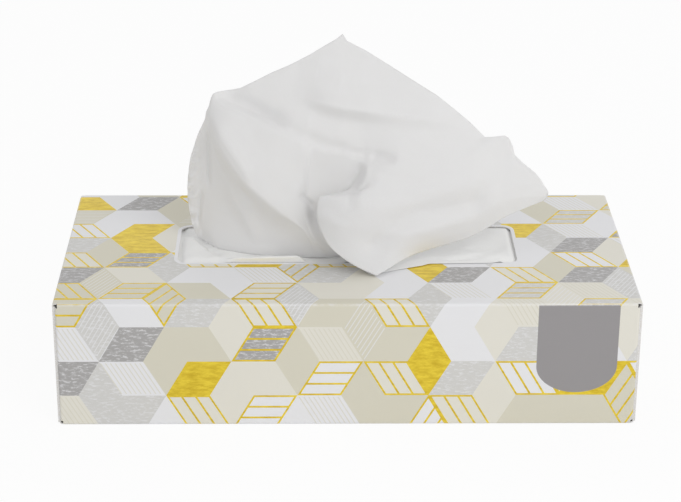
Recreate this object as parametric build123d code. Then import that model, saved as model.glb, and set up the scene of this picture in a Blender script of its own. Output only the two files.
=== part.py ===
"""A flat carton of facial tissues with one sheet pulled up through its top opening.

Millimetres, +Z up. The origin is at the middle of the carton's underside, X runs
along the carton's length and the front panel faces -Y.
"""
import os

from build123d import *

# Carton blank, with the outside sizes of the glued-up carton
CARTON_LENGTH = 226.0
CARTON_DEPTH = 111.0
CARTON_HEIGHT = 52.0
BOARD = 0.5
FOLD_RADIUS = 1.0
GLUE_LAP = 14.0
DUST_FLAP = 36.0
FLAP_EDGE_GAP = 0.8

# Dispensing opening, torn out of the top panel
OPENING_LENGTH = 136.0
OPENING_DEPTH = 37.0
OPENING_CORNER = 4.0
OPENING_X = 0.5
OPENING_Y = 2.0

# Interfolded stack, with its clearances in the carton
STACK_END_GAP = 4.0
STACK_SIDE_GAP = 2.0
STACK_EDGE_RADIUS = 2.5
HEADSPACE = 2.3

# Loose sheets on the stack
SHEET = 0.4
SEAT_GAP = 0.3
SHEET_RISE = 87.5
SHEET_SETBACK = 1.0
RIBS_PER_SPAN = 3

# Tongue of the next sheet, which lies out over the front lip of the opening
TONGUE_START = 8.0
TONGUE_INSET = 7.5
TONGUE_REACH_LEFT = 12.5
TONGUE_REACH_RIGHT = 1.5
TONGUE_SIDE = 7.0
TONGUE_CLIMB = 13.0

# Places worked out from the sizes above
END_LAYERS = 3 * BOARD
STACK_TOP = CARTON_HEIGHT - BOARD - HEADSPACE
STACK_LENGTH = CARTON_LENGTH - 2 * (END_LAYERS + STACK_END_GAP)
STACK_DEPTH = CARTON_DEPTH - 2 * (2 * BOARD + STACK_SIDE_GAP)
LIP_Y = OPENING_Y - OPENING_DEPTH / 2
OPENING_RIGHT = OPENING_X + OPENING_LENGTH / 2
TONGUE_LIFT = CARTON_HEIGHT + SEAT_GAP - STACK_TOP

# Planes whose X and Y run along a section of the carton, with the section's run as normal
ACROSS = Plane(origin=(0, 0, 0), x_dir=(0, 1, 0), z_dir=(1, 0, 0))
ALONG = Plane.XZ


def bent_board(corners, plane, width):
    """Give a line of board its folds and thickness, and run it both ways along the normal."""
    line = FilletPolyline(*corners, radius=FOLD_RADIUS)
    section = Wire(line.edges()).offset_2d(BOARD, side=Side.LEFT)
    return extrude(plane * Face(section), amount=width / 2, both=True)


def carton_sleeve(length):
    """Back, top, front and bottom panels, and the glue lap inside the back panel."""
    half = CARTON_DEPTH / 2
    panels = bent_board(
        [(half, BOARD), (half, CARTON_HEIGHT), (-half, CARTON_HEIGHT), (-half, 0), (0, 0)],
        ACROSS, length)
    lap = bent_board([(0, 0), (half - BOARD, 0), (half - BOARD, GLUE_LAP)], ACROSS, length)
    return panels + lap


def carton_end(start):
    """The glued flaps that close the right end, from the innermost layer outwards."""
    end = CARTON_LENGTH / 2
    half = CARTON_DEPTH / 2
    flap_width = CARTON_DEPTH - 2 * FOLD_RADIUS
    dust_height = CARTON_HEIGHT - 2 * (FOLD_RADIUS + FLAP_EDGE_GAP)
    middle = Plane.XY.offset(CARTON_HEIGHT / 2)
    front_dust = bent_board(
        [(start, -half), (end - 2 * BOARD, -half), (end - 2 * BOARD, DUST_FLAP - half)],
        middle, dust_height)
    back_dust = mirror(front_dust, about=Plane.XZ)
    inner = bent_board(
        [(start, 0), (end - BOARD, 0), (end - BOARD, CARTON_HEIGHT - BOARD - FLAP_EDGE_GAP)],
        ALONG, flap_width)
    outer = bent_board(
        [(end, FLAP_EDGE_GAP), (end, CARTON_HEIGHT), (start, CARTON_HEIGHT)], ALONG, flap_width)
    return front_dust + back_dust + inner + outer


def carton():
    """One folded and glued blank, open at the top where the tear-out was."""
    panel_end = CARTON_LENGTH / 2 - 2 * BOARD - FOLD_RADIUS
    right = carton_end(panel_end - FOLD_RADIUS)
    shell = carton_sleeve(2 * panel_end) + right + mirror(right, about=Plane.YZ)
    outline = RectangleRounded(OPENING_LENGTH, OPENING_DEPTH, OPENING_CORNER)
    cut = extrude(Pos(OPENING_X, OPENING_Y, CARTON_HEIGHT) * outline, amount=BOARD, both=True)
    return shell - cut


def tissue_stack():
    """The interfolded sheets, whose folded long edges are round."""
    height = STACK_TOP - BOARD
    section = RectangleRounded(STACK_DEPTH, height, STACK_EDGE_RADIUS)
    centre = (0, 0, BOARD + height / 2)
    plane = Plane(origin=centre, x_dir=(0, 1, 0), z_dir=(1, 0, 0))
    return extrude(plane * section, amount=STACK_LENGTH / 2, both=True)


def tongue_stations():
    """Along X, how far the next sheet is lifted and how far it reaches past the lip."""
    left = OPENING_X + TONGUE_START
    right = OPENING_RIGHT - TONGUE_INSET
    half = STACK_LENGTH / 2 - SHEET_SETBACK
    return [
        (-half, 0, -SHEET_SETBACK),
        (left - 3 * TONGUE_SIDE, 0, -SHEET_SETBACK),
        (left - TONGUE_SIDE, 1, -SHEET_SETBACK),
        (left, 1, TONGUE_REACH_LEFT),
        (right, 1, TONGUE_REACH_RIGHT),
        (right + TONGUE_INSET / 2, 1, -SHEET_SETBACK),
        (right + TONGUE_INSET, 0, -SHEET_SETBACK),
        (half, 0, -SHEET_SETBACK),
    ]


def next_underside(x, y):
    """Height of the next sheet's underside: on the stack, and lifted to clear the lip."""
    stations = tongue_stations()
    lift = 0
    for (x0, lift0, _), (x1, lift1, _) in zip(stations, stations[1:]):
        if x0 <= x <= x1:
            lift = lift0 + (lift1 - lift0) * (x - x0) / (x1 - x0)
    share = (y - LIP_Y - 2 * SHEET_SETBACK) / TONGUE_CLIMB
    share = min(max(share, 0), 1)
    return STACK_TOP + TONGUE_LIFT * lift * (1 - share * share * (3 - 2 * share))


def next_section(x, lift, reach):
    """Section of the next sheet at x: over the lip, down an S-curve and back on the stack."""
    raised = STACK_TOP + TONGUE_LIFT * lift
    front = LIP_Y - reach
    top = LIP_Y + 2 * SHEET_SETBACK
    foot = top + TONGUE_CLIMB
    third = TONGUE_CLIMB / 3
    back = STACK_DEPTH / 2 - STACK_EDGE_RADIUS
    lines = [
        Line((front, raised), (top, raised)),
        Bezier((top, raised), (top + third, raised), (foot - third, STACK_TOP), (foot, STACK_TOP)),
        Line((foot, STACK_TOP), (back, STACK_TOP)),
    ]
    upper = [Pos(0, SHEET) * line for line in lines]
    ends = [Line((y, z), (y, z + SHEET)) for y, z in ((front, raised), (back, STACK_TOP))]
    outline = Wire([edge for curve in lines + upper + ends for edge in curve.edges()])
    return Plane(origin=(x, 0, 0), x_dir=(0, 1, 0), z_dir=(1, 0, 0)) * Face(outline)


def next_tissue():
    """The sheet that comes out next, spread on the stack under the opening."""
    return loft([next_section(*station) for station in tongue_stations()], ruled=True)


def rib_percents():
    """Ribs of the pulled sheet, from its left side edge to its right corner.

    Each runs from its foot to the leading edge, in percent of half the opening's length,
    half its depth and the sheet's rise. A foot without a height stands on the next sheet.
    """
    return [
        [(-86, 27), (-89, 11, 11), (-90, -5, 25), (-90, -5, 35), (-92, 16, 43)],
        [(-80, -22), (-82, -30, 13), (-82, -38, 30), (-84, -30, 46), (-86, 3, 58)],
        [(-67, -59), (-68, -65, 11), (-73, -62, 30), (-79, -49, 51), (-79, -8, 67)],
        [(-33, -81), (-37, -86, 10), (-49, -81, 25), (-68, -59, 47), (-76, -11, 75)],
        [(-12, -76, -0.8), (-14, -78, 11), (-27, -78, 27), (-42, -57, 53), (-54, 5, 80)],
        [(7, -70, 1.8), (2, -73, 11), (-23, -95, 32), (-28, -59, 58), (-28, 19, 89)],
        [(18, -86, 2.0), (8, -81, 11), (-5, -84, 31), (-7, -57, 62), (-4, 32, 100)],
        [(17, -162, 1.9), (-8, -146, 15), (-17, -122, 33), (11, -68, 53), (24, 16, 86)],
        [(39, -135, 9), (26, -146, 18), (20, -135, 32), (35, -86, 53), (52, 0, 73)],
        [(70, -95, 13), (65, -108, 23), (63, -103, 34), (67, -65, 48), (80, -14, 56)],
        [(96, -54, 20), (95, -59, 27), (94, -49, 34), (94, -27, 42), (93, -5, 53)],
        [(115, -27, 23), (116, -26, 26), (116, -24, 29), (116, -22, 32), (115, -20, 35)],
    ]


def rib_point(across, back, up=None):
    """Place one rib point over the opening. Without a height it stands on the next sheet."""
    x = OPENING_X + across / 100 * OPENING_LENGTH / 2
    y = OPENING_Y + back / 100 * OPENING_DEPTH / 2
    if up is None:
        return Vector(x, y, next_underside(x, y) + SHEET + SEAT_GAP)
    return Vector(x, y, CARTON_HEIGHT + up / 100 * SHEET_RISE)


def even_spline(points):
    """A spline that passes through its points at even steps of its parameter."""
    steps = len(points) - 1
    return Edge.make_spline(points, parameters=[step / steps for step in range(steps + 1)])


def pulled_ribs():
    """Front and back curve of each rib, with new ribs between those that are listed."""
    net = [[rib_point(*point) for point in rib] for rib in rib_percents()]
    crossings = [even_spline(row) for row in zip(*net)]
    count = RIBS_PER_SPAN * (len(net) - 1)
    heights = [row / (len(crossings) - 1) for row in range(len(crossings))]
    pairs = []
    for step in range(count + 1):
        points = [row.position_at(step / count, PositionMode.PARAMETER) for row in crossings]
        middle = even_spline(points)
        front = []
        back = []
        for point, row, height in zip(points, crossings, heights):
            along = middle.tangent_at(height, PositionMode.PARAMETER)
            across = row.tangent_at(step / count, PositionMode.PARAMETER)
            half = across.cross(along).normalized() * (SHEET / 2)
            front.append(point + half)
            back.append(point - half)
        pairs.append((even_spline(front), even_spline(back)))
    return pairs


def pulled_tissue():
    """The sheet drawn up through the opening, closed from strips between its ribs."""
    pairs = pulled_ribs()
    strip = Face.make_surface_from_curves
    faces = [strip(*pairs[0]), strip(*pairs[-1])]
    for (front, back), (next_front, next_back) in zip(pairs, pairs[1:]):
        faces += [strip(front, next_front), strip(back, next_back)]
        for end in (0, 1):
            foot = Line(front @ end, back @ end).edge()
            faces.append(strip(foot, Line(next_front @ end, next_back @ end).edge()))
    return Solid(Shell(faces))


PIECES = {
    "carton": carton,
    "tissue_stack": tissue_stack,
    "next_tissue": next_tissue,
    "pulled_tissue": pulled_tissue,
}

os.makedirs("parts", exist_ok=True)
for name, make in PIECES.items():
    export_step(make(), f"parts/{name}.step")
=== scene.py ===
# %% [markdown]
# # A tissue box with one sheet pulled up
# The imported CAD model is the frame: a paperboard carton, the stack of sheets inside it, the
# sheet that comes out next and the sheet that stands in the opening. The carton and the stack
# keep their CAD shape and get finishes here. The two loose sheets are thin tissue, so each is
# remade as a thin mesh in the place of its CAD solid.

# %% Load the frame
import math

import bpy
import numpy as np
from mathutils import Matrix, Vector, noise


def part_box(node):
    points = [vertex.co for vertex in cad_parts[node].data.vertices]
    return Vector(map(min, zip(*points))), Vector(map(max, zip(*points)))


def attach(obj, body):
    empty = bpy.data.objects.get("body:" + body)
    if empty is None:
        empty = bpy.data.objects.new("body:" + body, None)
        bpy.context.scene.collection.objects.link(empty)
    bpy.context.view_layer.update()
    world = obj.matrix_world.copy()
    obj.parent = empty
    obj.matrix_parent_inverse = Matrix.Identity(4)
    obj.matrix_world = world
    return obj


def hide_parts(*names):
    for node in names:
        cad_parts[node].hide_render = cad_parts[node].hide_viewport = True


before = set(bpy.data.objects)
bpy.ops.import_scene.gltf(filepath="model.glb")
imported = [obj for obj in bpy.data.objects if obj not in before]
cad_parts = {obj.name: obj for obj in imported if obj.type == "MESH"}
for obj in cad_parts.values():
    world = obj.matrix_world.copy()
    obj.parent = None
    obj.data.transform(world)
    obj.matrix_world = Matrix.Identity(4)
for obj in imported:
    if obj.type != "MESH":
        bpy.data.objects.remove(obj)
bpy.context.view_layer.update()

MM = 0.001
carton_low, carton_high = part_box("carton")
stack_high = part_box("tissue_stack")[1]

# %% [markdown]
# ## Camera
# The camera stands where the photographer stood: straight in front of the carton, a little
# higher, with a long lens. Its place and tilt come from fitting the carton's visible corners.

# %% Camera
CAMERA_PLACE = Vector((-0.0155, -0.7660, 0.3863))
CAMERA_YAW = math.radians(1.0)
CAMERA_PITCH = math.radians(23.71)
CAMERA_ROLL = math.radians(0.35)
CAMERA_LENS = 108.8

ahead = Vector((math.sin(CAMERA_YAW) * math.cos(CAMERA_PITCH),
                math.cos(CAMERA_YAW) * math.cos(CAMERA_PITCH),
                -math.sin(CAMERA_PITCH)))
level = Vector((math.cos(CAMERA_YAW), -math.sin(CAMERA_YAW), 0))
upright = level.cross(ahead)
right = level * math.cos(CAMERA_ROLL) + upright * math.sin(CAMERA_ROLL)
up = upright * math.cos(CAMERA_ROLL) - level * math.sin(CAMERA_ROLL)
turn = Matrix((right, up, -ahead)).transposed()

bpy.ops.object.select_all(action="DESELECT")
bpy.ops.object.camera_add(location=CAMERA_PLACE, rotation=turn.to_euler())
camera = bpy.context.object
camera.data.lens = CAMERA_LENS
bpy.context.scene.camera = camera
print("camera", [round(value, 4) for value in camera.location])

# %% [markdown]
# ## Maths for finishes
# Patterns on the board and the tissue are worked out from places on the surface. Written as
# nodes by hand that is hundreds of links, so a small class wraps a socket and lets Python's
# own operators add the Math nodes. A second class holds the node tree, and one method of it
# adds any other node.

# %% Sockets that take part in Python maths
class Field:
    """One number, colour, vector or shader over a surface."""

    def __init__(self, owner, socket):
        self.owner = owner
        self.socket = socket

    def math(self, operation, *others):
        """Add a Math node that takes this field and the others."""
        inputs = dict(enumerate([self, *others]))
        return self.owner.node("ShaderNodeMath", {"operation": operation}, inputs)

    def __add__(self, other):
        return self.math("ADD", other)

    __radd__ = __add__

    def __sub__(self, other):
        return self.math("SUBTRACT", other)

    def __rsub__(self, other):
        return self * -1 + other

    def __mul__(self, other):
        return self.math("MULTIPLY", other)

    __rmul__ = __mul__

    def __truediv__(self, other):
        return self.math("DIVIDE", other)

    def __neg__(self):
        return self * -1

    def __abs__(self):
        return self.math("ABSOLUTE")

    def below(self, other):
        return self.math("LESS_THAN", other)

    def above(self, other):
        return self.math("GREATER_THAN", other)

    def least(self, other):
        return self.math("MINIMUM", other)

    def most(self, other):
        return self.math("MAXIMUM", other)

    def whole(self):
        return self.math("ROUND")

    def part(self):
        return self.math("FRACT")

    def sign(self):
        return self.math("SIGN")

    def root(self):
        return self.math("SQRT")

    def soft(self, low, high):
        """0 below low, 1 above high and a smooth rise between."""
        settings = {"interpolation_type": "SMOOTHSTEP"}
        return self.owner.node("ShaderNodeMapRange", settings,
                               {"Value": self, "From Min": low, "From Max": high})


# %% Node trees and materials
class Nodes:
    """A node tree in the making, with one method for every kind of node."""

    def __init__(self, tree):
        self.tree = tree

    def node(self, kind, settings=None, inputs=None, output=0):
        """Add a node, set it up, fill its sockets and return one of its outputs."""
        made = self.tree.nodes.new(kind)
        for name, value in (settings or {}).items():
            setattr(made, name, value)
        for name, value in (inputs or {}).items():
            self.put(made.inputs[name], value)
        return Field(self, made.outputs[output])

    def put(self, socket, value):
        """Link a field to a socket, or set a plain value on it."""
        if isinstance(value, Field):
            self.tree.links.new(value.socket, socket)
        else:
            socket.default_value = value

    def seen_by(self, *kinds):
        """1 for rays of these kinds, and 0 for rays that only gather light."""
        rays = self.node("ShaderNodeLightPath").socket.node
        seen, *others = [Field(self, rays.outputs[f"Is {kind} Ray"]) for kind in kinds]
        for other in others:
            seen = seen.most(other)
        return seen


class Finish(Nodes):
    """A material in the making, round a Principled shader."""

    def __init__(self, name):
        self.material = bpy.data.materials.new(name)
        self.material.use_nodes = True
        super().__init__(self.material.node_tree)
        self.shader = self.tree.nodes["Principled BSDF"]

    def coordinates(self, kind):
        return self.node("ShaderNodeTexCoord", output=kind)

    def place_mm(self):
        """Place on the piece in millimetres."""
        return self.node("ShaderNodeVectorMath", {"operation": "SCALE"},
                         {"Vector": self.coordinates("Object"), "Scale": 1 / MM})

    def split(self, vector):
        parts = self.node("ShaderNodeSeparateXYZ", None, {0: vector}).socket.node
        return [Field(self, parts.outputs[axis]) for axis in range(3)]

    def join(self, x, y, z):
        return self.node("ShaderNodeCombineXYZ", None, {0: x, 1: y, 2: z})

    def mix(self, share, first, second):
        """Mix two colours, which a Mix node has on its sockets 6 and 7, with the result on 2."""
        return self.node("ShaderNodeMix", {"data_type": "RGBA"}, {0: share, 6: first, 7: second}, 2)

    def cloud(self, vector, scale, detail=3.0, roughness=0.55):
        return self.node("ShaderNodeTexNoise", None,
                         {"Vector": vector, "Scale": scale, "Detail": detail, "Roughness": roughness})

    def bump(self, height, strength, distance):
        made = self.node("ShaderNodeBump", None,
                         {"Height": height, "Strength": strength, "Distance": distance})
        self.put(self.shader.inputs["Normal"], made)

    def set(self, values):
        for name, value in values.items():
            self.put(self.shader.inputs[name], value)


def ink(red, green, blue):
    """A printed colour, given as it looks on screen, in the linear values that shaders take."""
    levels = [value / 255 for value in (red, green, blue)]
    return [level / 12.92 if level < 0.04045 else ((level + 0.055) / 1.055) ** 2.4
            for level in levels] + [1.0]


def dress(node_name, finish):
    """Give a CAD node one finish all over."""
    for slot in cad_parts[node_name].material_slots:
        slot.material = finish.material
    print(node_name, "has", len(finish.tree.nodes), "nodes in its finish")


# %% [markdown]
# ## The carton's print
# The board carries an all-over print of facets in white, stone, grey and gold foil. A tumbling
# block layout of rhombs stands here, which is an old quilt pattern. The blank is printed flat
# and folded later, so the pattern is laid out on the flat blank: each outer face is unfolded
# from the top panel, and the print runs on across the folds.

# %% Where a point of the carton lies on the flat blank
LENGTH = (carton_high.x - carton_low.x) / MM
DEPTH = (carton_high.y - carton_low.y) / MM
HEIGHT = carton_high.z / MM
SAME_FACE = 0.001
FACES_OUT = 0.4

board = Finish("printed_board")
board_place = board.place_mm()
x, y, z = board.split(board_place)
nx, ny, nz = board.split(board.coordinates("Normal"))

to_end = LENGTH / 2 - abs(x)
to_side = DEPTH / 2 - abs(y)
to_top = HEIGHT - z
nearest = to_end.least(to_side).least(to_top).least(z)
on_top = (to_top - nearest).below(SAME_FACE)
on_end = (to_end - nearest).below(SAME_FACE) * (1 - on_top)
on_side = (to_side - nearest).below(SAME_FACE) * (1 - on_top) * (1 - on_end)
on_bottom = 1 - on_top - on_end - on_side

outward = on_end * nx * x.sign() + on_side * ny * y.sign() + on_top * nz - on_bottom * nz
printed = outward.above(FACES_OUT)
along = x + on_end * x.sign() * to_top
level_across = (on_top + on_end) * y
side_across = on_side * y.sign() * (DEPTH / 2 + to_top)
across = level_across + side_across - on_bottom * (y + DEPTH + HEIGHT)
print("carton in mm", round(LENGTH, 1), round(DEPTH, 1), round(HEIGHT, 1))

# %% [markdown]
# A tumbling block is a hexagon of three rhombs that look like the lid and the two sides of a
# cube. The hexagons make a honeycomb, and a honeycomb is two plain grids, one shifted by half
# a step. Rounding gives the nearest middle in each grid, and the nearer of the two is the block.

# %% Blocks of the honeycomb
RHOMB = 17.0
ROW = RHOMB * math.sqrt(3)
COLUMN = RHOMB * 3
PRINT_SHIFT = (11.0, -8.5)

columns = (along + PRINT_SHIFT[0]) / COLUMN
rows = (across + PRINT_SHIFT[1]) / ROW


def nearest_block(offset):
    """Middle of the nearest block in one grid, the way from it, and its distance squared."""
    column = (columns - offset).whole() + offset
    row = (rows - offset).whole() + offset
    away_u = (columns - column) * COLUMN
    away_v = (rows - row) * ROW
    return column, row, away_u, away_v, away_u * away_u + away_v * away_v


*main_block, main_distance = nearest_block(0.0)
*other_block, other_distance = nearest_block(0.5)
use_main = main_distance.below(other_distance)
block_column, block_row, block_u, block_v = [
    other + use_main * (main - other) for main, other in zip(main_block, other_block)]
print("blocks every", COLUMN, "by", round(ROW, 2), "mm")

# %% Rhombs of a block
HALF_HEIGHT = ROW / 2
THIRD_COSINE = -0.5
THIRD_SINE = math.sqrt(0.75)

# Distances along three ways that are a third of a turn apart
turn_a = block_v / HALF_HEIGHT
turn_b = (block_v * THIRD_COSINE - block_u * THIRD_SINE) / HALF_HEIGHT
turn_c = (block_v * THIRD_COSINE + block_u * THIRD_SINE) / HALF_HEIGHT
lid = turn_a.above(0) * turn_b.below(0)
left_side = turn_b.above(0) * turn_c.below(0) * (1 - lid)
right_side = 1 - lid - left_side

# From 0 to 1 along both pairs of edges of a rhomb, and millimetres from its rim
first_way = -(lid * turn_b + left_side * turn_c + right_side * turn_a)
second_way = lid * turn_a + left_side * turn_b + right_side * turn_c
rim = first_way.least(1 - first_way).least(second_way).least(1 - second_way) * HALF_HEIGHT
print("rhombs with edges of", RHOMB, "mm")

# %% [markdown]
# Each rhomb draws its own random numbers, from its block and its seat in the block. The sides
# of a block tend to darker tones than its lid, so that the blocks look solid. The greys are
# flecked with white streaks, like weathered wood.

# %% A colour for each rhomb
WHITE = ink(233, 233, 235)
IVORY = ink(228, 225, 214)
STONE = ink(216, 212, 195)
PALE_GREY = ink(210, 209, 206)
WEATHERED = ink(168, 166, 165)
GREY_FROM = 0.70
WEATHERED_FROM = 0.84
TONES = [
    (0.24, IVORY), (0.40, STONE), (0.58, WHITE),
    (GREY_FROM, PALE_GREY), (WEATHERED_FROM, WEATHERED),
]
SIDE_SHADE = 0.19

# Draws are made a quarter off whole numbers, where rounding can't change them
OFF_WHOLE = 0.25
DRAW = 3

seat = left_side + right_side * 2 + (DRAW + OFF_WHOLE)
draw_place = board.join(block_column * 2 + OFF_WHOLE, block_row * 2 + OFF_WHOLE, seat)
chance = board.node("ShaderNodeTexWhiteNoise", {"noise_dimensions": "3D"},
                    {"Vector": draw_place}, "Color")
pick_colour, pick_foil, pick_lines = board.split(chance)

shade = pick_colour * (1 - 2 * SIDE_SHADE) + left_side * SIDE_SHADE + right_side * (2 * SIDE_SHADE)
tone = WHITE
for tone_from, colour in TONES:
    tone = board.mix(shade.above(tone_from), tone, colour)
print("tones", len(TONES) + 1)

# %% White flecks on the greys
STREAK_TURN = (0, 0, 0.5)
STREAK_SCALE = (0.35, 1.1, 1)
FLECK_EDGE = (0.5, 0.6)
FLECK_STRENGTH = 0.65

blank_place = board.join(along, across, 0.0)
streaked = board.node("ShaderNodeMapping", None,
                      {"Vector": blank_place, "Rotation": STREAK_TURN, "Scale": STREAK_SCALE})
scuff = board.cloud(streaked, scale=1.0, detail=7.0, roughness=0.75)
flecks = scuff.soft(*FLECK_EDGE) * shade.above(GREY_FROM)
tone = board.mix(flecks * FLECK_STRENGTH, tone, WHITE)
print("flecks on tones from", GREY_FROM)

# %% [markdown]
# Some rhombs carry fine hatching. Others have a rim and two lines of gold foil, and a few are
# foil all over. Hatching runs along one pair of edges, so it needs only the place between them.

# %% Hatching
STRIPES = 9
STRIPE_WIDTH = 0.22
HATCHED_SHARE = 0.26
HATCH_END = 0.05
HATCH_STRENGTH = 0.75

stripe = (first_way * STRIPES).part()
hatched = pick_lines.below(HATCHED_SHARE) * shade.below(WEATHERED_FROM)
between_ends = second_way.above(HATCH_END) * second_way.below(1 - HATCH_END)
hatch_line = stripe.below(STRIPE_WIDTH) * hatched * between_ends
tone = board.mix(hatch_line * HATCH_STRENGTH, tone, board.mix(lid, WHITE, STONE))
print("hatching on", HATCHED_SHARE, "of the rhombs, less the dark ones")

# %% Gold foil
FOIL_LIGHT = ink(240, 214, 62)
FOIL_DARK = ink(204, 172, 26)
FOIL_SHARE = 0.055
FOIL_LINED_SHARE = 0.28
FOIL_RIM = 0.75
FOIL_LINE = 0.4
FOIL_LINE_PLACES = (0.34, 0.66)
FOIL_GRAIN_AND_GLINTS = (0.3, 0.7)

foil_line = rim.below(FOIL_RIM)
for line_place in FOIL_LINE_PLACES:
    from_line = abs(first_way - line_place) * HALF_HEIGHT
    foil_line = foil_line.most(from_line.below(FOIL_LINE))
lined = pick_lines.above(1 - FOIL_LINED_SHARE)
solid_foil = pick_foil.below(FOIL_SHARE)
foil = solid_foil.most(foil_line * lined)

# The foil's light and dark patches are partly grain and partly painted reflection, for its glints
foil_grain_and_painted_glints = board.cloud(streaked, scale=0.5, detail=8.0, roughness=0.7)
foil_tone = board.mix(foil_grain_and_painted_glints.soft(*FOIL_GRAIN_AND_GLINTS), FOIL_DARK, FOIL_LIGHT)
tone = board.mix(foil, tone, foil_tone)
print("foil on", FOIL_SHARE, "of the rhombs, and foil lines on", FOIL_LINED_SHARE)

# %% [markdown]
# ## What interrupts the print
# The tear-out leaves a narrow unprinted rim round the opening, and a plain grey tab with a
# round foot hangs from the top fold on the front panel. Along the folds the print is rubbed
# pale. Cut edges and the inside of the carton are bare board.

# %% Rim of the opening
OPENING_MIDDLE = (0.5, 2.0)
OPENING_HALF = (68.0, 18.5)
OPENING_CORNER = 4.0
RIM_WIDTH = 1.4

past_u = abs(x - OPENING_MIDDLE[0]) - (OPENING_HALF[0] - OPENING_CORNER)
past_v = abs(y - OPENING_MIDDLE[1]) - (OPENING_HALF[1] - OPENING_CORNER)
corner_u = past_u.most(0)
corner_v = past_v.most(0)
past_corner = (corner_u * corner_u + corner_v * corner_v).root()
from_opening = past_corner + past_u.most(past_v).least(0) - OPENING_CORNER
bare_rim = from_opening.below(RIM_WIDTH) * on_top
print("rim", RIM_WIDTH, "mm wide")

# %% Tab on the front panel
TAB_GREY = ink(151, 148, 149)
TAB_LEFT = 73.0
TAB_RIGHT = 104.3
TAB_TOP = 51.4
TAB_SIDE_END = 25.5
TAB_FOOT = 14.1

tab_u = abs(x - (TAB_LEFT + TAB_RIGHT) / 2) / ((TAB_RIGHT - TAB_LEFT) / 2)
tab_v = ((TAB_SIDE_END - z) / (TAB_SIDE_END - TAB_FOOT)).most(0)
tab = (tab_u * tab_u + tab_v * tab_v).below(1) * z.below(TAB_TOP) * on_side * y.below(0)

tone = board.mix(tab, tone, TAB_GREY)
tone = board.mix(bare_rim, tone, WHITE)
foil = foil * (1 - tab) * (1 - bare_rim)
print("tab", round(TAB_RIGHT - TAB_LEFT, 1), "by", round(TAB_TOP - TAB_FOOT, 1), "mm")

# %% Worn folds and bare board
WORN_WIDTH = (0.2, 1.2)
WORN_PATCHES = (0.35, 0.65)
WORN_STRENGTH = 0.5
BARE_BOARD = ink(214, 210, 202)
BARE_GRAIN = (0.3, 0.7)

level_fold = (on_top + on_bottom) * to_end.least(to_side)
side_fold = on_side * to_end.least(to_top).least(z)
end_fold = on_end * to_side.least(to_top).least(z)
to_fold = level_fold + side_fold + end_fold
rubbing = board.cloud(board_place, scale=0.5, detail=5.0, roughness=0.65)
worn = (1 - to_fold.soft(*WORN_WIDTH)) * rubbing.soft(*WORN_PATCHES)
tone = board.mix(worn * WORN_STRENGTH, tone, WHITE)

paper_grain = board.cloud(board_place, scale=2.5, detail=4.0, roughness=0.7)
bare_tone = board.mix(paper_grain.soft(*BARE_GRAIN), BARE_BOARD, WHITE)
tone = board.mix(printed, bare_tone, tone)
foil = foil * printed * (1 - worn)
print("folds worn over", WORN_WIDTH[1], "mm")

# %% [markdown]
# Coated board has a soft sheen. Foil is a little smoother and partly metallic, and bare board is
# duller. Thin board never lies quite flat, so slow waves are bump, with the paper's grain and the
# edges of the foil.

# %% Gloss and surface of the board
PRINT_ROUGHNESS = 0.55
FOIL_SMOOTHER = 0.17
BARE_ROUGHER = 0.3
FOIL_METAL = 0.35
WAVE_SCALE = 0.018
WAVE_HEIGHT = 6
GRAIN_HEIGHT = 0.02
FOIL_HEIGHT = 0.03
BOARD_BUMP = 0.35

roughness = PRINT_ROUGHNESS - foil * FOIL_SMOOTHER + (1 - printed) * BARE_ROUGHER
board.set({"Base Color": tone, "Metallic": foil * FOIL_METAL, "Roughness": roughness})
waves = board.cloud(board_place, WAVE_SCALE, detail=2.0, roughness=0.5)
board_relief = waves * WAVE_HEIGHT + paper_grain * GRAIN_HEIGHT + foil * FOIL_HEIGHT
board.bump(board_relief, BOARD_BUMP, MM)
dress("carton", board)

# %% [markdown]
# ## Tissue
# Facial tissue is two thin plies of soft paper. It is matt and nearly white, and short fibres
# cloud it a little. A loose sheet lets light through, so its shaded folds stay pale, and
# subsurface scattering in the thin closed mesh gives that. A sheet that lies on others has white
# paper behind it, so its own finish lets little light through and is whiter. That whiter colour
# is partly the paper behind it and partly painted light, which lifts the shade of the flap above.

# %% Finishes of the loose sheets
TISSUE_WHITE = ink(224, 224, 224)
TISSUE_SHADE = ink(222, 221, 221)
# The backed whites are partly painted light: brighter than the loose sheet's to lift the flap's shade
BACKED_WHITE_WITH_PAINTED_LIGHT = ink(244, 244, 243)
BACKED_SHADE_WITH_PAINTED_LIGHT = ink(241, 241, 240)
TISSUE_ROUGHNESS = 0.95
TISSUE_SPECULAR = 0.2
LIGHT_REACH = 0.3
FIBRE_SCALE = 420.0
FIBRE_EDGE = (0.35, 0.65)
FIBRE_BUMP = 0.08
FIBRE_HEIGHT = 0.1


def tissue_finish(name, light, shade, see_through):
    """Paper clouded by fibres in two whites. The more see-through, the more light goes into it."""
    paper = Finish(name)
    fibres = paper.cloud(paper.coordinates("UV"), FIBRE_SCALE, detail=5.0, roughness=0.7)
    tint = paper.mix(fibres.soft(*FIBRE_EDGE), shade, light)
    paper.set({"Base Color": tint, "Roughness": TISSUE_ROUGHNESS})
    paper.set({"Specular IOR Level": TISSUE_SPECULAR, "Subsurface Weight": see_through})
    paper.set({"Subsurface Radius": (1, 1, 1), "Subsurface Scale": LIGHT_REACH * MM})
    paper.bump(fibres, FIBRE_BUMP, FIBRE_HEIGHT * MM)
    return paper


loose_tissue = tissue_finish("loose_tissue", TISSUE_WHITE, TISSUE_SHADE, see_through=0.75)
backed_tissue_with_painted_light = tissue_finish("backed_tissue_with_painted_light", BACKED_WHITE_WITH_PAINTED_LIGHT, BACKED_SHADE_WITH_PAINTED_LIGHT, see_through=0.1)
print("tissue finishes", loose_tissue.material.name, backed_tissue_with_painted_light.material.name)

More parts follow.
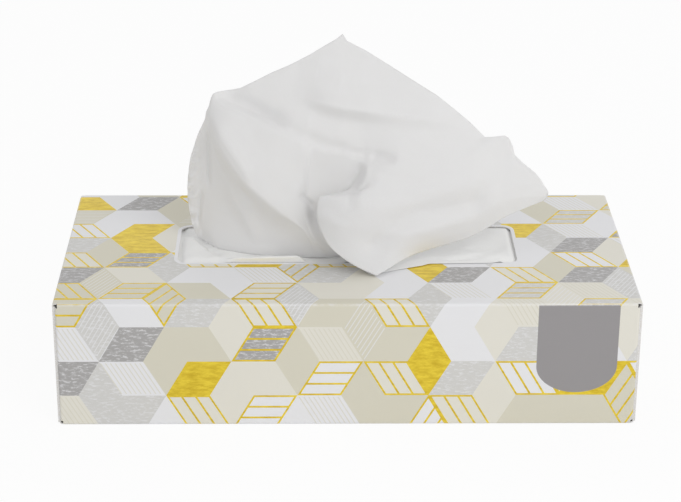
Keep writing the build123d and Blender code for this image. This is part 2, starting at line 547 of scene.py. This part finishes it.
# %% [markdown]
# The stack is one solid in the frame. Fine dark lines, one for each folded sheet, show at its
# sides that it is made of many. They are painted shade for the gaps between the sheets, and
# random clouds of tone lie over them.

# %% Finish of the stack
SHEET_PITCH = 0.54
PAINTED_GAP_SHADE = ink(200, 198, 193)
GAP_EDGE = (0.0, 0.3)
GAP_STRENGTH = 0.6
CLOUD_SCALE = 0.4
CLOUD_STRENGTH = 0.4
STACK_BUMP = 0.4
STACK_RELIEF = 0.2

folded = Finish("folded_stack")
stack_place = folded.place_mm()
stack_level = folded.split(stack_place)[2]
sheet_edge = (stack_level / SHEET_PITCH).part()
# Painted shade in the gap at each folded sheet, plus random clouds of tone; the same lines are bump
painted_gap_shade_and_cloud = (1 - sheet_edge.soft(*GAP_EDGE)) * GAP_STRENGTH
painted_gap_shade_and_cloud = painted_gap_shade_and_cloud + folded.cloud(stack_place, CLOUD_SCALE) * CLOUD_STRENGTH
stack_tone = folded.mix(painted_gap_shade_and_cloud, TISSUE_WHITE, PAINTED_GAP_SHADE)
folded.set({"Base Color": stack_tone, "Roughness": TISSUE_ROUGHNESS})
folded.bump(painted_gap_shade_and_cloud, STACK_BUMP, STACK_RELIEF * MM)
dress("tissue_stack", folded)

# %% [markdown]
# ## The sheet that stands in the opening
# The sheet was pinched in the middle of its leading edge and pulled up. It stands on its folded
# foot, leans back at the top, turns a wing to the left, tucks in below the middle, and rolls out
# into a flap that drops over the lip on the right. Cloth simulation alone would let it fall, so
# its ribs are placed one by one as a dressmaker places folds on a stand, and curves across and
# along them give the sheet.

# %% Ribs of the pulled sheet, from the left edge to the right corner, each from foot to edge
PULLED_RIBS = [
    [(-59.5, 9.5, 51.2), (-60.6, 8.5, 53), (-62.4, 7.2, 58.5), (-63.5, 6.4, 65),
     (-64, 6, 71), (-63.9, 5.8, 76.5), (-63.3, 5.6, 83), (-62, 5.2, 90)],
    [(-57.5, 7, 51.2), (-58.3, 6.8, 53), (-59.6, 6, 60.5), (-59.2, 5.2, 68.5),
     (-58.4, 5, 75.5), (-57.5, 5, 82), (-57.2, 5, 89.5), (-59.3, 4.4, 98.5)],
    [(-52, 0, 51.2), (-52.8, 0.5, 53.5), (-53.5, 2, 62), (-53.5, 2.3, 72),
     (-53.6, 2.2, 79), (-53.8, 2, 86), (-54.2, 1.8, 94.5), (-56, 2.2, 106.5)],
    [(-34, -7, 51.1), (-35, -7, 54), (-38.5, -5.2, 63), (-43, -3.5, 72),
     (-46, -2.4, 78), (-49.2, -1.6, 84.5), (-53, 0, 95.5), (-55.6, 1.6, 109)],
    [(-14, -9.5, 51), (-14, -10.5, 54), (-16.8, -14.8, 64.6), (-25.6, -17, 73.6),
     (-32.5, -16.6, 79.8), (-40.5, -14.6, 87.4), (-49.8, -9, 99.8), (-54.4, 0.5, 112)],
    [(-11.5, -9.5, 51), (-12, -10.8, 54), (-16.4, -15, 64), (-22, -16.2, 75.8),
     (-26.5, -15.6, 81.8), (-31.5, -14, 90.3), (-42.5, -5.2, 111.4), (-52.6, 0, 117.4)],
    [(-9, -9.5, 51), (-10, -10.8, 54), (-14.8, -14.9, 63.6), (-18.8, -14.9, 75.8),
     (-21.4, -14.4, 82.5), (-25, -13, 91.5), (-30, -8.2, 108.6), (-34, 2.8, 123)],
    [(-6.5, -9.3, 51), (-8, -11.2, 54), (-13.2, -15.6, 63.4), (-16.2, -13.4, 74.8),
     (-18, -12.6, 81.7), (-17.8, -11.4, 89.6), (-17.4, -10.4, 102.2), (-14.5, 4.6, 131.8)],
    [(-4, -8.8, 51), (-5.5, -11, 54), (-10.5, -15, 64), (-13.4, -11.2, 73),
     (-14.6, -11.6, 77), (-15, -9.8, 88.5), (-14, -9.8, 101), (-9, 6.2, 135)],
    [(2, -8, 51), (1, -10.8, 54), (-5, -17.8, 64), (-7.5, -13, 73),
     (-7, -11.2, 77.2), (-5.8, -8.8, 87.5), (-4.5, -9.6, 99.6), (-1.6, 8.2, 139.4)],
    [(9, -12, 52), (7, -14.6, 55.5), (0, -21.4, 64), (-2, -18, 73),
     (0.6, -12.4, 79), (2.8, -10.4, 85.2), (5.4, -10.2, 94.6), (4, 6.6, 134.9)],
    [(11.5, -31, 52.9), (2, -29, 57), (-7.8, -25.5, 64.5), (-11.9, -22.2, 75),
     (-10.6, -20.4, 81.8), (4, -17, 82.8), (9.8, -12.2, 93.8), (12, 4.6, 130.3)],
    [(27, -20.5, 57.4), (22.5, -23.3, 62.4), (13, -25.4, 68.5), (6.5, -24, 77),
     (6.5, -21.8, 81.2), (12, -17.8, 86), (19, -13.3, 95.5), (33, 2, 117.5)],
    [(48, -12.8, 61), (46.5, -15.8, 66.4), (44, -18.3, 72), (42.5, -18, 78),
     (42.3, -16.8, 82.5), (43.2, -14.5, 87.5), (45.5, -10.5, 94), (54.9, -0.5, 99.4)],
    [(66, -8, 69.5), (65.4, -8.6, 72.5), (65, -9, 76), (64.6, -8.3, 79.5),
     (64.5, -7, 82.5), (64.5, -5.5, 85.5), (64.5, -3, 90), (64.5, 1, 98.5)],
    [(79.5, -3, 73.3), (80.1, -2.9, 74), (80.6, -2.8, 74.8), (80.9, -2.6, 75.6),
     (81, -2.5, 76.2), (80.8, -2.4, 76.8), (80.3, -2.2, 77.8), (79, -1.6, 79.5)],
]
print("ribs", len(PULLED_RIBS), "of", len(PULLED_RIBS[0]), "points")


# %% Curves through the ribs
def folded_curve(points, steps):
    """A curve along the first axis that never swings past its points, as paper doesn't."""
    step = np.diff(points, axis=0)
    before = step[:-1]
    after = step[1:]
    same_way = before * after > 0
    slope = np.concatenate([step[:1], np.zeros_like(before), step[-1:]])
    slope[1:-1][same_way] = (2 * before * after)[same_way] / (before + after)[same_way]
    places = np.linspace(0, len(step), steps * len(step) + 1)
    first = np.minimum(places.astype(int), len(step) - 1)
    share = (places - first).reshape(-1, *[1] * (points.ndim - 1))
    swing = share * share * (3 - 2 * share)
    return (points[first] + swing * step[first] + share * (1 - share) ** 2 * slope[first]
            - share * share * (1 - share) * slope[first + 1])


def even_rows(places, count):
    """The same net with rows at even distances along each column."""
    lengths = np.linalg.norm(np.diff(places, axis=0), axis=2).cumsum(axis=0)
    lengths = np.concatenate([np.zeros_like(lengths[:1]), lengths])
    spaced = np.empty((count, *places.shape[1:]))
    for column in range(places.shape[1]):
        wanted = np.linspace(0, lengths[-1, column], count)
        for axis in range(3):
            spaced[:, column, axis] = np.interp(wanted, lengths[:, column], places[:, column, axis])
    return spaced


def ease(value, low, high):
    """0 below low, 1 above high and a smooth rise between."""
    share = np.clip((value - low) / (high - low), 0, 1)
    return share * share * (3 - 2 * share)


# %% [markdown]
# The leading edge has more turns than the ribs alone can give, so its outline is drawn as it is
# seen from the front, in X and Z. Round the peak the edge lies in the plane in which the pull
# leans the sheet back.

# %% The net of the pulled sheet
LEADING_EDGE = [
    (-52.6, 117.4), (-51, 118.2), (-42.1, 119.2), (-35.8, 122.2), (-29.5, 125.2), (-22.4, 128),
    (-14.5, 131.8), (-8.6, 135.2), (-3.9, 137.7), (-1.6, 139.4), (0, 136.9), (7.1, 133.4),
    (17, 127.4), (24.9, 122.5), (35.6, 115.9), (42.8, 110.4), (48.8, 105.6), (54.9, 99.4),
    (58.9, 99.4), (63, 99.5), (64.8, 98.4), (66.1, 95.6), (67, 91.5), (70.8, 87.9),
    (75.4, 84.6), (78.6, 80.6),
]
STEPS_PER_SPAN = 14
STEPS_UP_SPAN = 40
PULLED_ROWS = 150
LEAN_Y = -9.6
LEAN_Z = 100.2
LEAN_SLOPE = 0.455
PEAK_REACH = (14, 40)


def leaning(height):
    """Y of the plane in which the upper part of the sheet leans back."""
    return LEAN_Y + LEAN_SLOPE * (height - LEAN_Z)


across_net = folded_curve(np.array(PULLED_RIBS, float), STEPS_PER_SPAN)
edge = across_net[:, -1]
edge_x, edge_z = np.array(LEADING_EDGE).T
on_edge = (edge[:, 0] > edge_x[0]) & (edge[:, 0] < edge_x[-1])
edge[on_edge, 2] = np.interp(edge[on_edge, 0], edge_x, edge_z)
at_peak = (1 - ease(abs(edge[:, 0]), *PEAK_REACH)) * on_edge
edge[:, 1] += at_peak * (leaning(edge[:, 2]) - edge[:, 1])
net = even_rows(folded_curve(across_net.swapaxes(0, 1), STEPS_UP_SPAN), PULLED_ROWS)
print("net rows and columns", net.shape[:2])

# %% The upper part is stretched smooth by the pull
STRETCHED_Z = (103, 112)
STRETCHED_X = (-46, -34)
STRETCH_SPREAD = 22


def smoothed(values, spread):
    """Values of each row, averaged along the row."""
    reach = np.arange(-3 * spread, 3 * spread + 1)
    weights = np.exp(-(reach / spread) ** 2)
    padded = np.pad(values, ((0, 0), (3 * spread, 3 * spread)), mode="reflect", reflect_type="odd")
    return np.stack([np.convolve(row, weights / weights.sum(), mode="valid") for row in padded])


stretched = ease(net[..., 2], *STRETCHED_Z) * ease(net[..., 0], *STRETCHED_X)
off_plane = net[..., 1] - leaning(net[..., 2])
net[..., 1] += stretched * (smoothed(off_plane, STRETCH_SPREAD) - off_plane)
print("stretched points", int((stretched > 0).sum()))

# %% [markdown]
# Paper keeps the creases of its packing. Each crease is a stroke drawn on the front of the sheet,
# which pulls the paper forward or back, steeply on one side of the stroke and gently on the other.
# Small random waves lie all over the sheet, and higher ones crimp its side edge.

# %% Creases, as strokes of places in X and Z, a height, and a width on the left and the right
CREASES = [
    ([(-53, 118), (-46, 115.4), (-40, 113.2), (-29.4, 109.3), (-22, 105.7)], -4.2, 3.6, 1.5),
    ([(-29.4, 109.3), (-18.5, 103.8), (-7.8, 99.4), (0, 98), (5, 97)], -1.7, 2.6, 1.8),
    ([(-22, 118.2), (-14.1, 116.3), (-0.8, 112.9), (12.9, 111.2), (36.6, 107.9), (50, 106)],
     4.4, 12, 3.2),
    ([(-17, 117), (-8, 114.8), (4, 112.3), (16, 110.8)], 1.3, 5, 2.2),
    ([(-1, 97.2), (4, 96.4), (10, 95.9), (15.5, 95.5), (20, 95.2)], -1.4, 1.8, 2),
    ([(9, 96), (12.5, 95.8), (16, 95.5), (20, 95.2)], -1.0, 1.6, 2.2),
    ([(-17.2, 78), (-16.6, 86), (-15.2, 96), (-14.8, 101)], 0.8, 4, 1),
    ([(0, 81), (4.5, 83.5), (6.5, 86), (8.3, 90.5), (9, 92.5)], 1.1, 1.2, 6),
    ([(0, 76.5), (1.4, 79.5), (3, 84), (5, 89), (6.4, 93)], -1.6, 2.4, 1.2),
    ([(5, 57), (9, 61.2), (16.8, 71.1), (28.6, 75.3), (48.6, 77.5), (58, 78)], -3.2, 4.5, 6),
    ([(-35, 55), (-36.6, 59.5), (-40.5, 67.8), (-44.9, 74.3), (-47.2, 80.8), (-49, 86)], 2.0, 3, 3.5),
    ([(-32, 70), (-35.2, 73.8), (-40.3, 79.8), (-49.9, 96.1), (-52, 101)], -1.2, 2.5, 1.8),
    ([(-36, 84), (-39, 87.8), (-43.3, 94.2), (-49.2, 102), (-53, 110)], 1.2, 1.2, 4),
    ([(-55.2, 74), (-55.2, 79.2), (-55, 99.3), (-54.5, 104)], -1.6, 0.9, 0.9),
    ([(-18.5, 80.5), (-16.5, 78), (-14, 75.5), (-12.5, 74.2)], -1.0, 0.9, 0.9),
    ([(-11, 77.8), (-9.3, 76.3), (-4.8, 72.6), (1, 71)], 0.8, 1.5, 3.5),
    ([(-60.5, 56), (-59.8, 61), (-59.2, 68), (-58.2, 76)], -1.2, 0.9, 0.9),
]
TAPER_SHARE = 0.25
TAPER_LENGTH = 9
TAPER_PER_WIDTH = 1.5


def stroke_rise(flat, line, height, left, right):
    """How far one crease pulls each place of a plane. It tapers off towards both of its ends."""
    best = np.full(flat.shape[:2], np.inf)
    width = np.ones(flat.shape[:2])
    along_line = np.zeros(flat.shape[:2])
    length = 0
    for start, stop in zip(np.array(line[:-1], float), np.array(line[1:], float)):
        way = stop - start
        share = np.clip(((flat - start) @ way) / (way @ way), 0, 1)
        away = flat - start - share[..., None] * way
        distance = np.hypot(away[..., 0], away[..., 1])
        turn_left = way[0] * away[..., 1] - way[1] * away[..., 0]
        nearer = distance < best
        width = np.where(nearer, np.where(turn_left > 0, left, right), width)
        along_line = np.where(nearer, length + share * np.hypot(*way), along_line)
        best = np.minimum(best, distance)
        length += np.hypot(*way)
    taper = min(TAPER_SHARE * length, max(TAPER_LENGTH, TAPER_PER_WIDTH * max(left, right)))
    fade = np.minimum(ease(along_line, 0, taper), 1 - ease(along_line, length - taper, length))
    return height * fade * np.exp(-(best / width) ** 2)


def crumple(places, size, height):
    """Small random waves of one size."""
    flat = places.reshape(-1, 3) / size
    waves = [noise.noise(Vector(place)) for place in flat]
    return height * np.array(waves).reshape(places.shape[:2])


print("creases", len(CREASES))

# %% Crease, crumple and crimp the pulled sheet
PULL = np.array((0, -0.94, 0.34))
PULLED_WAVES = [(9, 0.25), (4, 0.1)]
CRIMP_SIZE = 3.2
CRIMP_HEIGHT = 2.6
CRIMP_SPANS = 1.2

front_view = net[..., (0, 2)]
rise = sum(stroke_rise(front_view, *crease) for crease in CREASES)
for size, height in PULLED_WAVES:
    rise = rise + crumple(net, size, height)
near_side_edge = np.clip(1 - np.arange(net.shape[1]) / (CRIMP_SPANS * STEPS_PER_SPAN), 0, 1)
rise = rise + crumple(net, CRIMP_SIZE, CRIMP_HEIGHT) * near_side_edge
net = net + rise[..., None] * PULL
print("creases pull from", round(rise.min(), 1), "to", round(rise.max(), 1), "mm")


# %% A grid that takes the shape of a net
def sheet_from_net(name, places):
    """Add a grid primitive and move its points to the places of a net, in millimetres."""
    rows_up, columns_across = places.shape[:2]
    bpy.ops.object.select_all(action="DESELECT")
    bpy.ops.mesh.primitive_grid_add(x_subdivisions=columns_across - 1, y_subdivisions=rows_up - 1,
                                    size=1, location=(0, 0, 0), calc_uvs=True)
    made = bpy.context.object
    made.name = name
    made.data.name = name
    made.data.vertices.foreach_set("co", (places.reshape(-1, 3) * MM).ravel())
    made.data.update()
    area = sum(face.area for face in made.data.polygons)
    print(name, len(made.data.vertices), "points", round(area * 1e4, 1), "square cm")
    return made


pulled = sheet_from_net("pulled_sheet", net)

# %% [markdown]
# ## The sheet that comes out next
# Tissues are interfolded, so pulling one leaves the next one ready under the opening. It lies on
# the stack and bellies up a little in the opening. Its front edge was dragged along: on the right
# it lies out over the front lip as a tongue, and on the left it is turned up in a small hem. Seen
# from above it is a plain sheet, so a height for each place is enough, apart from the hem.

# %% Outline of the next sheet, whose front reaches past the lip by an amount for each X
LIP_Y = OPENING_MIDDLE[1] - OPENING_HALF[1]
FRONT_REACH = [
    (-106.5, -0.5), (1.5, -0.5), (9, 12.5), (20, 7.5), (30, 3.5), (33, 1.6), (45, 1.2),
    (57, 1), (60, 0.2), (62, -0.6), (64, -1), (106.5, -1),
]
NEXT_BACK = 50.0
NEXT_COLUMNS = 284
NEXT_ROWS = 130
ROW_CROWDING = 1.5

reach_x, reach = np.array(FRONT_REACH).T
next_x = np.linspace(reach_x[0], reach_x[-1], NEXT_COLUMNS + 1)
front_y = LIP_Y - np.interp(next_x, reach_x, reach)
shares = np.linspace(0, 1, NEXT_ROWS + 1)[:, None] ** ROW_CROWDING
next_y = front_y + (NEXT_BACK - front_y) * shares
next_x = np.broadcast_to(next_x, next_y.shape)

# How far each place lies inside the opening
inside_x = OPENING_HALF[0] - abs(next_x - OPENING_MIDDLE[0])
inside_y = OPENING_HALF[1] - abs(next_y - OPENING_MIDDLE[1])
inside = np.minimum(inside_x, inside_y)
print("next sheet reaches", reach.max(), "mm past the lip")

# %% Heights of the next sheet: up to the board, a belly, a groove at each end, and the tongue
STACK_TOP = stack_high.z / MM
BOARD = 0.5
STACK_CLEARANCE = 0.1
BOARD_CLEARANCE = 0.45
BOARD_RISE = (-14, -1)
LEFT_END_GAP = 2.5
RIGHT_END_GAP = 1
BELLY_HEIGHT = 1.2
BELLY_SIDES = (0.4, 5)
BELLY_START = 0.2
BELLY_FULL = 2.8
GROOVE_DEPTH = 0.8
GROOVE_PLACE = 0.5
GROOVE_INSIDE = (-2, 1)
TONGUE_SPAN = (-5, 1.5, 61, 64)
TONGUE_DROP = (0.5, 5)
TONGUE_CLEARANCE = 0.3


def between(value, start, full, last, stop):
    """A smooth rise from start to full, and a smooth fall from last to stop."""
    return ease(value, start, full) * (1 - ease(value, last, stop))


under_board = HEIGHT - BOARD - BOARD_CLEARANCE - STACK_TOP
end_gap = np.where(next_x < 0, LEFT_END_GAP, RIGHT_END_GAP)
belly = ease(inside_x, BELLY_START * end_gap, BELLY_FULL * end_gap) * ease(inside_y, *BELLY_SIDES)
groove = (1 - ease(abs(inside_x - GROOVE_PLACE), 0, end_gap)) * ease(inside, *GROOVE_INSIDE)
tongue = between(next_x, *TONGUE_SPAN) * (1 - ease(next_y - LIP_Y, *TONGUE_DROP))
next_z = STACK_TOP + STACK_CLEARANCE + under_board * ease(inside, *BOARD_RISE) + BELLY_HEIGHT * belly
next_z = next_z - GROOVE_DEPTH * groove
next_z = np.maximum(next_z, next_z + (HEIGHT + TONGUE_CLEARANCE - next_z) * tongue)
print("next sheet from", round(next_z.min(), 2), "to", round(next_z.max(), 2), "mm high")

# %% Hem and wrinkles of the next sheet, with a furrow where the pulled sheet stands
HEM_SPAN = (-51, -42, -20, -15)
HEM_FOLD = (0, 0.9, 1.1, 3.6)
HEM_HEIGHT = 3.2
HEM_LEAN = 1.8
FOOT_LINE = [(-68, 18), (-60, 9), (-52, 0), (-34, -7), (-14, -9.5), (2, -8), (9, -10), (16, -10)]
NEXT_CREASES = [
    (FOOT_LINE, -1.3, 2.2, 2.2),
    ([(-63, 12), (-60.3, 7.4), (-51.1, -9.8), (-49, -13)], -1.6, 1.6, 1),
    ([(14, -24), (34, -15), (60, -6)], 0.7, 4, 2),
    ([(30, -14), (58, -12)], -0.4, 2, 3),
]
NEXT_WAVES = [(11, 0.7), (5, 0.25)]
WRINKLED_INSIDE = (0, 3)

hem = between(next_y - front_y, *HEM_FOLD) * between(next_x, *HEM_SPAN)
next_z = next_z + HEM_HEIGHT * hem
next_y = next_y - HEM_LEAN * hem
top_view = np.stack([next_x, next_y], axis=2)
next_net = np.stack([next_x, next_y, next_z], axis=2)
wrinkles = sum(stroke_rise(top_view, *crease) for crease in NEXT_CREASES)
for size, height in NEXT_WAVES:
    wrinkles = wrinkles + crumple(next_net, size, height)
next_net[..., 2] += wrinkles * ease(inside, *WRINKLED_INSIDE)
next_sheet = sheet_from_net("next_sheet", next_net)

# %% [markdown]
# ## Thickness
# Two plies of tissue are about a tenth of a millimetre thick. Solidify makes each sheet a closed
# shell, which light can enter and leave. Then each sheet takes the place of its CAD solid. A whole
# sheet is folded in half in the stack, and that half is the flat size of both.

# %% Finish both sheets
SHEET_THICKNESS = 0.12


def finish_sheet(piece, paper, node):
    """Give a sheet its thickness and finish, hang it on the root body, and hide the solid it
    replaces.
    """
    bpy.ops.object.select_all(action="DESELECT")
    piece.select_set(True)
    bpy.context.view_layer.objects.active = piece
    solid = piece.modifiers.new("thickness", "SOLIDIFY")
    solid.thickness = SHEET_THICKNESS * MM
    solid.offset = 0
    bpy.ops.object.modifier_apply(modifier=solid.name)
    bpy.ops.object.shade_smooth()
    piece.data.materials.append(paper.material)
    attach(piece, "root")
    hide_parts(node)
    print(piece.name, "closed with", len(piece.data.polygons), "faces")


finish_sheet(pulled, loose_tissue, "pulled_tissue")
finish_sheet(next_sheet, backed_tissue_with_painted_light, "next_tissue")

# %% [markdown]
# ## Floor and light
# A plain white floor and an even studio light. The world gives most of the light from all sides.
# A large lamp at the front right gives the folds their shading, and a weaker one in front lifts
# the shadows. For the camera the floor is lifted most of the way to white, but it keeps the soft
# shadow under the carton, and the backdrop is pure white.

# %% Floor
FLOOR_SIZE = 8
FLOOR_WHITE = (0.9, 0.9, 0.9, 1)
FLOOR_ROUGHNESS = 0.9
FLOOR_GLOW = 0.92

bpy.ops.object.select_all(action="DESELECT")
bpy.ops.mesh.primitive_plane_add(size=FLOOR_SIZE, location=(0, 0, 0))
floor = bpy.context.object
floor.name = "floor"
floor_paint = Finish("floor_paint")
floor_paint.set({"Base Color": FLOOR_WHITE, "Roughness": FLOOR_ROUGHNESS})
lit_floor = Field(floor_paint, floor_paint.shader.outputs[0])
glow = floor_paint.node("ShaderNodeEmission")
glow_share = floor_paint.seen_by("Camera", "Glossy") * FLOOR_GLOW
lifted_floor = floor_paint.node("ShaderNodeMixShader", None, {0: glow_share, 1: lit_floor, 2: glow})
floor_paint.put(floor_paint.tree.nodes["Material Output"].inputs["Surface"], lifted_floor)
floor.data.materials.append(floor_paint.material)
print("floor", FLOOR_SIZE, "m wide")

# %% World
WORLD_LIGHT = 0.7
BACKDROP_LIGHT = 1
PURE_WHITE = (1, 1, 1, 1)

world = bpy.data.worlds.new("studio")
bpy.context.scene.world = world
world.use_nodes = True
sky = Nodes(world.node_tree)
background = sky.tree.nodes["Background"]
sky.put(background.inputs["Color"], PURE_WHITE)
sky.put(background.inputs["Strength"], WORLD_LIGHT)
even_light = Field(sky, background.outputs[0])
backdrop = sky.node("ShaderNodeBackground", None, {"Color": PURE_WHITE, "Strength": BACKDROP_LIGHT})
in_view = sky.seen_by("Camera", "Glossy", "Transmission")
studio = sky.node("ShaderNodeMixShader", None, {0: in_view, 1: even_light, 2: backdrop})
sky.put(sky.tree.nodes["World Output"].inputs["Surface"], studio)
print("world light", WORLD_LIGHT)

# %% Lamps
LAMP_AIM = Vector((0, 0, 0.06))


def add_lamp(name, place, size, power):
    """A square soft lamp that faces the middle of the object."""
    facing = (LAMP_AIM - Vector(place)).to_track_quat("-Z", "Y")
    bpy.ops.object.select_all(action="DESELECT")
    bpy.ops.object.light_add(type="AREA", location=place, rotation=facing.to_euler())
    lamp = bpy.context.object
    lamp.name = name
    lamp.data.size = size
    lamp.data.energy = power
    print("lamp", name, power, "W")


add_lamp("key", place=(0.7, -0.9, 0.9), size=0.7, power=4.4)
add_lamp("front", place=(0.2, -1.4, 0.5), size=1.0, power=1.2)
bpy.context.scene.view_settings.view_transform = "Standard"
